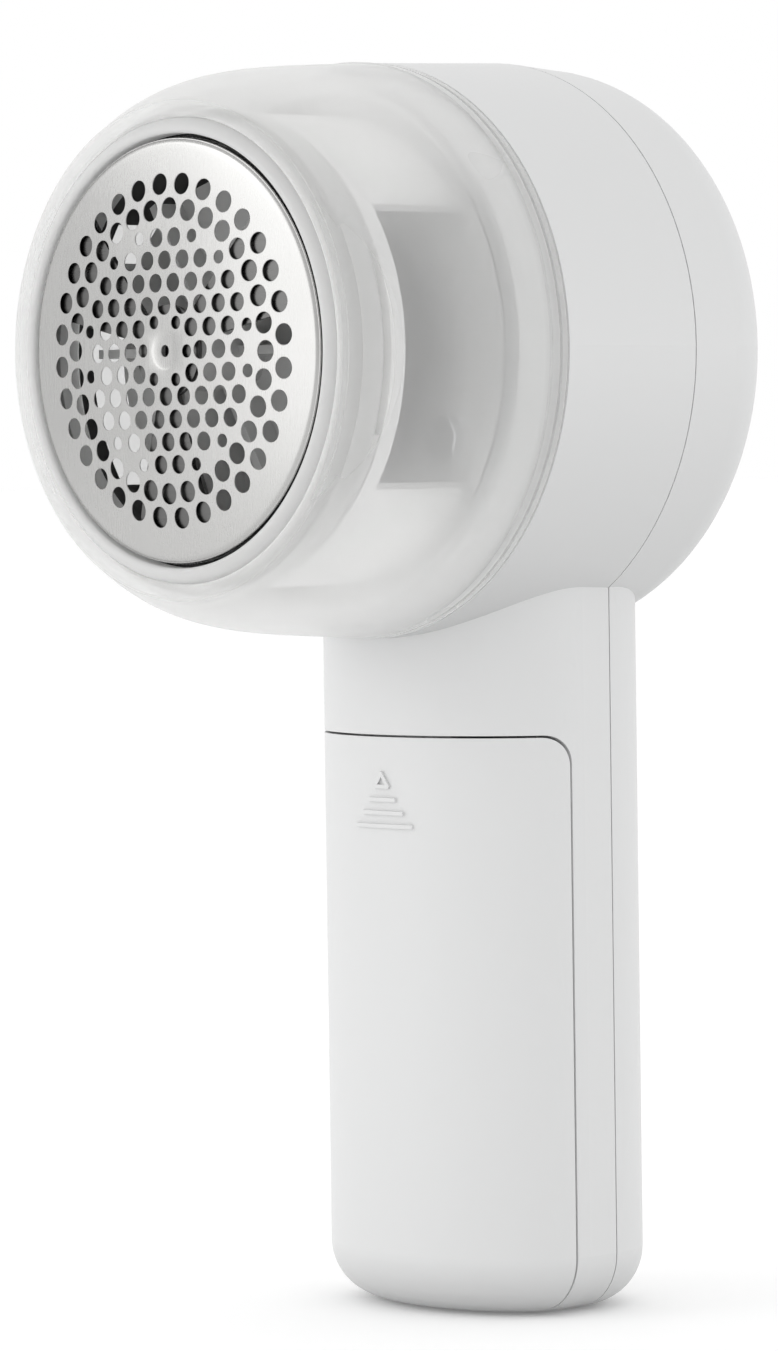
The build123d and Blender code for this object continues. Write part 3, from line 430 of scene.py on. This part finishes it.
def foil_holes():
    """(x, z, radius) of every hole."""
    pitch = sizes().hole_pitch
    wide, ringed, small = sizes().hole_width / 2, sizes().ring_hole_width / 2, sizes().small_hole_width / 2
    holes = [(0.0, 0.0, 0.9 * small)]
    tilt = radians(0.5)
    for row in range(-5, 6):
        for col in range(-8, 9):
            x, z = (col + (row % 2) / 2) * pitch, row * pitch * sqrt(3) / 2
            r = sqrt(x * x + z * z)
            if 1.1 * pitch <= r <= 4.7 * pitch:
                size = wide if r < 4.5 * pitch else small
                holes.append((x * cos(tilt) - z * sin(tilt), x * sin(tilt) + z * cos(tilt), size))
    # reach in pitches, number of holes, turn in steps, radius
    rings = ((1.25, 6, 0.0, small), (5.444, 32, 0.0, ringed), (6.386, 32, 0.5, ringed))
    for reach, count, shift, size in rings:
        for k in range(count):
            turn = radians(-1.2 + 360.0 * (k + shift) / count)
            holes.append((reach * pitch * cos(turn), reach * pitch * sin(turn), size))
    return holes


def circle(cx, cz, radius, count):
    """Points evenly round a circle in the foil's plane."""
    turns = [2 * pi * k / count for k in range(count)]
    return [Vector((cx + radius * cos(t), cz + radius * sin(t))) for t in turns]


def flat_foil(holes):
    """Triangulated disc with circles for its edge, holes and dimple; the edge's circle comes first."""
    points, edges = [], []
    circles = [circle(0.0, 0.0, FOIL_RADIUS - ROLL, EDGE_STEPS)]
    circles += [circle(cx, cz, radius + EASE, HOLE_STEPS) for cx, cz, radius in holes]
    # extra circles keep the triangles even round the dimple and in the blank band
    finer = ((1.8, 36), (2.0, 36), (2.2, 36), (20.4, 128), (21.3, 160), (22.1, 192))
    circles += [circle(0.0, 0.0, radius * MM, count) for radius, count in finer]
    for ring in circles:
        first, count = len(points), len(ring)
        points.extend(ring)
        edges.extend((first + k, first + (k + 1) % count) for k in range(count))
    flat, _, faces, _, _, _ = delaunay_2d_cdt(points, edges, [], 1, 1e-9)
    return flat, faces


def in_a_hole(flat, face, holes):
    """Whether a triangle lies inside a hole."""
    middle = sum((flat[i] for i in face), Vector((0.0, 0.0))) / len(face)
    return any((middle - Vector((cx, cz))).length < 0.99 * (radius + EASE) for cx, cz, radius in holes)


def add_lips(bm, holes, fronts, backs):
    """Eased wall of every hole."""
    for n, (cx, cz, radius) in enumerate(holes):
        first = EDGE_STEPS + n * HOLE_STEPS
        lips = [bm.verts.new(HEAD + Vector((p.x, crown(p.length, 0.7 * EASE), p.y)))
                for p in circle(cx, cz, radius, HOLE_STEPS)]
        for k in range(HOLE_STEPS):
            j = (k + 1) % HOLE_STEPS
            bm.faces.new((fronts[first + k], fronts[first + j], lips[j], lips[k]))
            bm.faces.new((lips[k], lips[j], backs[first + j], backs[first + k]))


def add_skirt(bm, fronts, backs, thick):
    """Rolled edge, skirt and flange, from the front of the sheet round to its back."""
    flat = FOIL_RADIUS - ROLL
    flange, inner = FOIL_RADIUS + FLANGE, FOIL_RADIUS - thick
    angles = [radians(18 * k) for k in range(1, 6)]
    outline = [(FOIL_RADIUS - ROLL * (1 - sin(a)), crown(flat) + ROLL * (1 - cos(a))) for a in angles]
    outline += [(FOIL_RADIUS, SKIRT), (flange, SKIRT), (flange, SKIRT + thick), (inner, SKIRT + thick)]
    outline += [(inner, crown(flat, thick) + 0.1 * MM)]
    rows = [fronts[:EDGE_STEPS]]
    for r, y in outline:
        rows.append([bm.verts.new(at_head(r, y, 2 * pi * k / EDGE_STEPS)) for k in range(EDGE_STEPS)])
    rows.append(backs[:EDGE_STEPS])
    for here, there in zip(rows, rows[1:]):
        for k in range(EDGE_STEPS):
            j = (k + 1) % EDGE_STEPS
            bm.faces.new((here[k], here[j], there[j], there[k]))


def foil_sheet():
    """Domed sheet with eased holes, rolled edge, skirt and flange."""
    thick = sizes().foil_thickness
    holes = foil_holes()
    flat, faces = flat_foil(holes)
    bm = bmesh.new()
    fronts = [bm.verts.new(HEAD + Vector((p.x, crown(p.length), p.y))) for p in flat]
    backs = [bm.verts.new(HEAD + Vector((p.x, crown(p.length, thick), p.y))) for p in flat]
    for face in faces:
        if not in_a_hole(flat, face, holes):
            bm.faces.new([fronts[i] for i in face])
            bm.faces.new([backs[i] for i in reversed(face)])
    add_lips(bm, holes, fronts, backs)
    add_skirt(bm, fronts, backs, thick)
    loose = [v for v in bm.verts if not v.link_faces]
    bmesh.ops.delete(bm, geom=loose, context="VERTS")
    bmesh.ops.recalc_face_normals(bm, faces=bm.faces)
    return bm


def cover_outline():
    """Section of the frosted cover: bowl, stepped rear edge, inside, neck and rolled rim."""
    wall = sizes().cover_wall
    front, rear = 0.55 * MM, COVER_REAR_Y
    span = rear - front
    edge = COVER_REAR_RADIUS
    lip = edge - wall
    outside = [(bowl_radius(k / 40), front + span * k / 40) for k in range(1, 37)]
    # places across the stepped rear edge: outwards from the edge and back from the rear, in millimetres
    steps = ((-0.10, 2.60), (0.02, 2.40), (0.02, 1.40), (-0.28, 1.20), (-0.28, 1.05), (0.0, 0.90),
             (0.0, 0.15), (-0.15, 0.0))
    stepped = [(edge + out * MM, rear - back * MM) for out, back in steps]
    stepped += [(lip + 0.1 * MM, rear), (lip, rear - 0.1 * MM)]
    inside = [(lip, 21.8 * MM), (lip - 0.6 * MM, 20.8 * MM)]
    inside += [(bowl_radius(k / 40) - wall, front + span * k / 40) for k in range(26, 5, -2)]
    neck = in_mm((27.0, 3.0), (27.0, 6.1), (25.75, 6.1), (25.75, 0.75))
    rim = in_mm((25.82, 0.42), (26.0, 0.16), (26.3, 0.0), (26.7, -0.06), (27.05, -0.02), (27.3, 0.12),
                (27.42, 0.3), (27.5, 0.42), (27.6, 0.44), (27.68, 0.5))
    return outside + stepped + inside + neck + rim


def ring_outline():
    """Section of the ring round the foil: rounded bead in front, recess for the foil's flange behind."""
    bead = in_mm((23.9, 0.45), (23.92, 0.12), (24.02, -0.12), (24.2, -0.27), (24.45, -0.32), (24.75, -0.26),
                 (25.05, -0.1), (25.3, 0.14), (25.5, 0.42), (25.62, 0.75), (25.65, 1.1))
    return bead + in_mm((25.65, 7.2), (24.65, 7.2), (24.65, 2.15), (23.9, 2.15))


def add_lugs(bm):
    """Three bayonet lugs behind the ring."""
    half, steps = radians(9.0), 8
    outline = in_mm((25.4, 6.2), (26.7, 6.2), (26.7, 7.2), (25.4, 7.2))
    for middle in (90.0, 210.0, 330.0):
        rows = []
        for k in range(steps + 1):
            turn = radians(middle) - half + 2 * half * k / steps
            rows.append([bm.verts.new(at_head(r, y, turn)) for r, y in outline])
        for here, there in zip(rows, rows[1:]):
            for i in range(4):
                j = (i + 1) % 4
                bm.faces.new((here[i], here[j], there[j], there[i]))
        bm.faces.new(rows[0])
        bm.faces.new(rows[-1])
    bmesh.ops.recalc_face_normals(bm, faces=bm.faces)
    return bm


class SHAVER_OT_foil(bpy.types.Operator):
    """Build the perforated foil"""

    bl_idname = "shaver.foil"
    bl_label = "Build foil"

    def execute(self, context):
        steel = foil_steel("foil_brushed", colours().steel, 0.27)
        add_piece("foil_sheet", foil_sheet(), "ring", steel, "foil_steel", "foil_mesh", angle=25.0)
        return {"FINISHED"}


class SHAVER_OT_cover(bpy.types.Operator):
    """Build the frosted cover and the foil's ring"""

    bl_idname = "shaver.cover"
    bl_label = "Build cover"

    def execute(self, context):
        frosted = frosted_plastic("frosted_plastic", colours().frosted, 0.3, 0.74)
        milky = frosted_plastic("milky_plastic", colours().frosted, 0.3, 0.06)
        add_piece("frosted_cover", lathe(cover_outline()), "cover", frosted, "frosted", "lint_cover")
        ring = add_lugs(lathe(ring_outline()))
        add_piece("frosted_ring", ring, "ring", milky, "frosted", "foil_ring")
        return {"FINISHED"}


class SHAVER_OT_housings(bpy.types.Operator):
    """Paint the white housings and the battery door, with painted shade on downward faces and in the
    cutter's well
    """

    bl_idname = "shaver.housings"
    bl_label = "Finish housings"

    def execute(self, context):
        # housing and door get painted shade on faces that point down
        white = moulded("satin_white", colours().housing, 0.42, tint=0.0, under=0.75)
        repaint(white, "rear_housing", "battery_door")
        # the front housing also gets painted shade inside the cutter's well, seen through the cover
        front = plastic_with_painted_well_shade("satin_white_front", colours().housing, 0.42, 25.0, 40.0, under=0.75)
        repaint(front, "front_housing")
        return {"FINISHED"}


class SHAVER_OT_cutter(bpy.types.Operator):
    """Finish the cutter, its hub and the chamber"""

    bl_idname = "shaver.cutter"
    bl_label = "Finish cutter"

    def execute(self, context):
        # the chamber gets painted shade inside its well, lightening towards the edge of its floor
        chamber = plastic_with_painted_well_shade("chamber_plastic", colours().chamber, 0.5, 25.2, 25.0)
        repaint(chamber, "cutter_chamber")
        repaint(moulded("hub_plastic", (0.72, 0.72, 0.715), 0.4), "cutter_hub")
        repaint(moulded("retainer_plastic", (0.9, 0.9, 0.895), 0.5), "foil_retainer")
        dark_steel = darker(colours().steel, 0.3)
        blade = metal("blade_steel", dark_steel, 0.3, lines=(0.1, 1.0, 1.0), line_size=0.3)
        repaint(blade, "cutter_blades", "cutter_spring")
        return {"FINISHED"}


class SHAVER_OT_motor(bpy.types.Operator):
    """Finish the motor and its bracket"""

    bl_idname = "shaver.motor"
    bl_label = "Finish motor"

    def execute(self, context):
        can = metal("can_steel", (0.6, 0.61, 0.62), 0.3, lines=(1.0, 0.05, 1.0))
        core = metal("core_steel", (0.3, 0.3, 0.32), 0.4, lines=(0.1, 1.0, 0.1), line_size=0.35)
        bronze = metal("bearing_bronze", (0.7, 0.5, 0.25), 0.35)
        copper = metal("winding_copper", (0.72, 0.33, 0.16), 0.3, lines=(1.0, 0.2, 1.0), line_size=0.25)
        repaint(can, "motor_can")
        repaint(metal("shaft_steel", (0.72, 0.73, 0.74), 0.15), "motor_shaft")
        repaint(core, "armature_core")
        repaint(bronze, "motor_bush_front", "motor_bush_rear", "shaft_collar")
        repaint(bronze, "motor_brushes", "motor_terminals")
        repaint(copper, "armature_windings", "commutator")
        repaint(moulded("magnet_ferrite", (0.06, 0.06, 0.065), 0.6), "motor_magnets")
        repaint(moulded("cap_plastic", (0.78, 0.76, 0.68), 0.45), "motor_cap")
        repaint(moulded("bracket_plastic", (0.55, 0.56, 0.56), 0.5), "motor_bracket")
        return {"FINISHED"}


class SHAVER_OT_power(bpy.types.Operator):
    """Finish the cells, contacts, switch and wiring"""

    bl_idname = "shaver.power"
    bl_label = "Finish power parts"

    def execute(self, context):
        repaint(jacket("cell_jacket", colours().cell), "cell_left", "cell_right")
        repaint(moulded("tray_plastic", (0.6, 0.61, 0.61), 0.5), "battery_tray")
        nickel = metal("contact_nickel", (0.72, 0.7, 0.65), 0.2)
        repaint(nickel, "contact_bridge", "contact_positive", "contact_negative")
        repaint(nickel, "spring_lower", "spring_upper")
        repaint(moulded("switch_black", (0.03, 0.03, 0.032), 0.45), "switch_body", "switch_slider")
        repaint(moulded("knob_grey", (0.42, 0.44, 0.45), 0.5), "switch_knob")
        repaint(moulded("lead_black", (0.02, 0.02, 0.02), 0.4), "lead_negative")
        repaint(moulded("lead_red", (0.45, 0.02, 0.02), 0.4), "lead_positive", "lead_switched")
        return {"FINISHED"}


class SHAVER_OT_screws(bpy.types.Operator):
    """Finish every screw"""

    bl_idname = "shaver.screws"
    bl_label = "Finish screws"

    def execute(self, context):
        zinc = metal("screw_zinc", (0.66, 0.67, 0.68), 0.25)
        repaint(zinc, "chamber_screws", "bracket_screws", "housing_screws", "tray_screws", "switch_screws")
        return {"FINISHED"}


class SHAVER_OT_stage(bpy.types.Operator):
    """Set the floor, the studio lights and the camera"""

    bl_idname = "shaver.stage"
    bl_label = "Set stage"

    def execute(self, context):
        build_floor()
        build_lights()
        build_camera()
        return {"FINISHED"}


def build_floor():
    """Large pale floor."""
    bm = bmesh.new()
    half = 12.0
    corners = [(-half, -half), (half, -half), (half, half), (-half, half)]
    bm.faces.new([bm.verts.new((x, y, CAD_BOX[0].z - 0.0002)) for x, y in corners])
    mesh = bpy.data.meshes.new("floor")
    bm.to_mesh(mesh)
    bm.free()
    finish = Finish("floor_paper", Roughness=0.9, Emission_Color=1.0, Emission_Strength=0.1)
    grain = finish.noise(finish.place(), 3.0, 2.0, 0.5)
    tone = colours().floor
    speckle = finish.spread(grain, 0.3, 0.7, 0.0, 1.0)
    finish.feed(Base_Color=finish.blend(speckle, darker(tone, 0.99), tone))
    mesh.materials.append(finish.material)
    floor = bpy.data.objects.new("floor", mesh)
    bpy.context.scene.collection.objects.link(floor)


def soft_box(name, place, aim, width, height, power):
    """Rectangular area light that faces a point."""
    data = bpy.data.lights.new(name, "AREA")
    data.shape = "RECTANGLE"
    data.size = width
    data.size_y = height
    data.energy = power
    lamp = bpy.data.objects.new(name, data)
    lamp.location = place
    lamp.rotation_euler = (aim - place).to_track_quat("-Z", "Y").to_euler()
    bpy.context.scene.collection.objects.link(lamp)


def build_lights():
    """White surroundings, a little dimmer at the front right, and four soft boxes."""
    world = bpy.data.worlds.new("studio_white")
    world.use_nodes = True
    tree = world.node_tree
    back = tree.nodes["Background"]
    back.inputs[0].default_value = (1.0, 1.0, 1.0, 1.0)
    way = tree.nodes.new("ShaderNodeTexCoord")
    facing = tree.nodes.new("ShaderNodeVectorMath")
    facing.operation = "DOT_PRODUCT"
    facing.inputs[1].default_value = (0.72, -0.69, -0.1)
    dim = tree.nodes.new("ShaderNodeMapRange")
    for k, value in enumerate((-0.3, 0.9, 1.0, 0.86), 1):
        dim.inputs[k].default_value = value
    tree.links.new(way.outputs[0], facing.inputs[0])
    tree.links.new(facing.outputs[1], dim.inputs[0])
    tree.links.new(dim.outputs[0], back.inputs[1])
    bpy.context.scene.world = world
    bpy.context.scene.view_settings.view_transform = "Standard"
    centre = (CAD_BOX[0] + CAD_BOX[1]) / 2
    soft_box("key_light", centre + Vector((-0.45, -0.85, 0.25)), centre, 0.45, 0.7, 1.25)
    soft_box("upper_light", centre + Vector((-0.64, -0.64, 0.36)), centre, 0.4, 0.25, 0.45)
    soft_box("fill_light", centre + Vector((0.9, 0.3, 0.2)), centre, 0.5, 0.7, 0.3)
    soft_box("top_light", centre + Vector((0.0, 0.1, 0.9)), centre, 0.6, 0.6, 0.2)


def build_camera():
    """Long lens at three-quarter view, almost level with the head."""
    azimuth, elevation, roll = radians(46.33), radians(2.18), radians(-0.785)
    aside, below, away = 23.12 * MM, 36.03 * MM, 653.7 * MM
    right = Vector((cos(azimuth), sin(azimuth), 0.0))
    ahead = Vector((-sin(azimuth) * cos(elevation), cos(azimuth) * cos(elevation), -sin(elevation)))
    up = right.cross(ahead)
    data = bpy.data.cameras.new("camera")
    data.lens = 158.3
    data.sensor_width = 36.0
    data.clip_start = 0.01
    camera = bpy.data.objects.new("camera", data)
    place = HEAD + right * aside - up * below - ahead * away
    side = right * cos(roll) + up * sin(roll)
    top = up * cos(roll) - right * sin(roll)
    turn = Matrix((side, top, -ahead)).transposed().to_4x4()
    camera.matrix_world = Matrix.Translation(place) @ turn
    bpy.context.scene.collection.objects.link(camera)
    bpy.context.scene.camera = camera


STEPS = (SHAVER_OT_foil, SHAVER_OT_cover, SHAVER_OT_housings, SHAVER_OT_cutter, SHAVER_OT_motor,
         SHAVER_OT_power, SHAVER_OT_screws, SHAVER_OT_stage)


class SHAVER_PT_panel(bpy.types.Panel):
    """Sidebar panel with the shaver's steps, sizes and colours"""

    bl_label = "Fabric shaver"
    bl_idname = "SHAVER_PT_panel"
    bl_space_type = "VIEW_3D"
    bl_region_type = "UI"
    bl_category = "Shaver"

    def draw(self, context):
        layout = self.layout
        for step in STEPS:
            layout.operator(step.bl_idname)
        for group in (context.scene.shaver_sizes, context.scene.shaver_colours):
            for key in group.__annotations__:
                layout.prop(group, key)


CLASSES = (ShaverSizes, ShaverColours) + STEPS + (SHAVER_PT_panel,)


def register():
    """Register the classes and the scene's settings."""
    for cls in CLASSES:
        bpy.utils.register_class(cls)
    bpy.types.Scene.shaver_sizes = PointerProperty(type=ShaverSizes)
    bpy.types.Scene.shaver_colours = PointerProperty(type=ShaverColours)


def unregister():
    """Remove the settings and the classes."""
    del bpy.types.Scene.shaver_colours
    del bpy.types.Scene.shaver_sizes
    for cls in reversed(CLASSES):
        bpy.utils.unregister_class(cls)


def main():
    """Run every step in order."""
    register()
    bpy.ops.shaver.foil()
    bpy.ops.shaver.cover()
    bpy.ops.shaver.housings()
    bpy.ops.shaver.cutter()
    bpy.ops.shaver.motor()
    bpy.ops.shaver.power()
    bpy.ops.shaver.screws()
    bpy.ops.shaver.stage()


if __name__ == "__main__":
    main()
